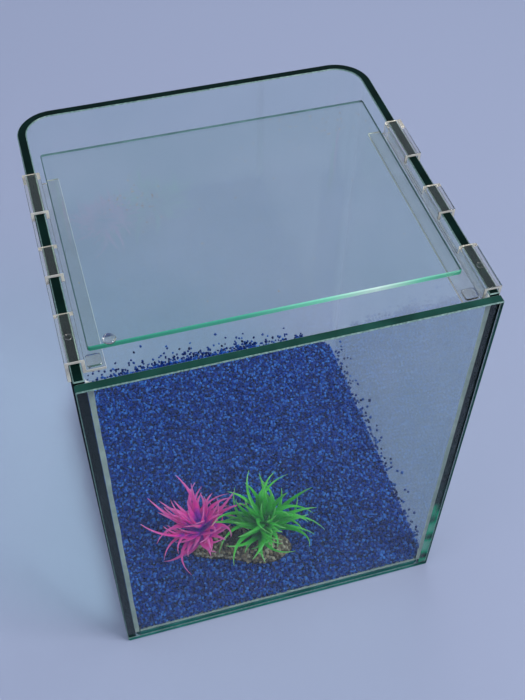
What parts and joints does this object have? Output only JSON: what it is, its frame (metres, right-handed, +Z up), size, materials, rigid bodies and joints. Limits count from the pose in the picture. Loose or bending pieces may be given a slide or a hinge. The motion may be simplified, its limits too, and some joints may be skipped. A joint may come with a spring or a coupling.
{
  "type": "aquarium tank",
  "caption": "Small upright glass aquarium: bent-glass body, bonded front and base, clip-on clear rails carrying a loose glass lid, with blue gravel and a plastic plant ornament.",
  "frame": {"origin": "middle of the tank's underside, on the surface it stands on", "axes": "+Z up, +X to the right seen from the front, -Y out of the flat front pane"},
  "size_m": [0.204, 0.2, 0.252],
  "materials": {
    "float_glass": "polished clear soda-lime float glass, dark green through its edges",
    "silicone": "translucent cured silicone, smooth tooled fillet",
    "clear_plastic": "clear moulded plastic, glossy, rounded edges",
    "blue_gravel": "royal blue coated 2 mm gravel, satin",
    "rock_resin": "matt cast resin rock, brown and grey pebbles",
    "pink_plastic": "satin soft moulded plastic, pink to purple",
    "purple_plastic": "satin soft moulded plastic, purple",
    "green_plastic": "satin soft moulded plastic, bright green with paler tips"
  },
  "bodies": {
    "tank": {"bent_glass_body": "float_glass", "front_pane": "float_glass", "base_pane": "float_glass", "front_seam_left": "silicone", "front_seam_right": "silicone", "base_seam_front": "silicone", "base_seam_rear": "silicone", "gravel_bed": "blue_gravel"},
    "left_rail": {"left_lid_rail": "clear_plastic"},
    "right_rail": {"right_lid_rail": "clear_plastic"},
    "lid": {"lid_glass": "float_glass", "lid_bumper": "clear_plastic"},
    "ornament": {"ornament_rock": "rock_resin", "pink_plant_stem": "purple_plastic", "green_plant_stem": "green_plastic", "pink_whorl_lower": "pink_plastic", "pink_whorl_middle": "pink_plastic", "pink_whorl_upper": "pink_plastic", "green_whorl_lower": "green_plastic", "green_whorl_middle": "green_plastic", "green_whorl_upper": "green_plastic"}
  },
  "joints": [
    {"name": "left_rail_lift", "type": "slide", "parent": "tank", "child": "left_rail", "axis": [0, 0, 1], "range_m": [0, 0.03]},
    {"name": "right_rail_lift", "type": "slide", "parent": "tank", "child": "right_rail", "axis": [0, 0, 1], "range_m": [0, 0.03]},
    {"name": "lid_lift", "type": "slide", "parent": "left_rail", "child": "lid", "axis": [0, 0, 1], "range_m": [0, 0.06]},
    {"name": "ornament_lift", "type": "slide", "parent": "tank", "child": "ornament", "axis": [0, 0, 1], "range_m": [0, 0.12]}
  ],
  "couplings": [
    {"joint": "right_rail_lift", "follows": "left_rail_lift", "ratio": 1}
  ]
}
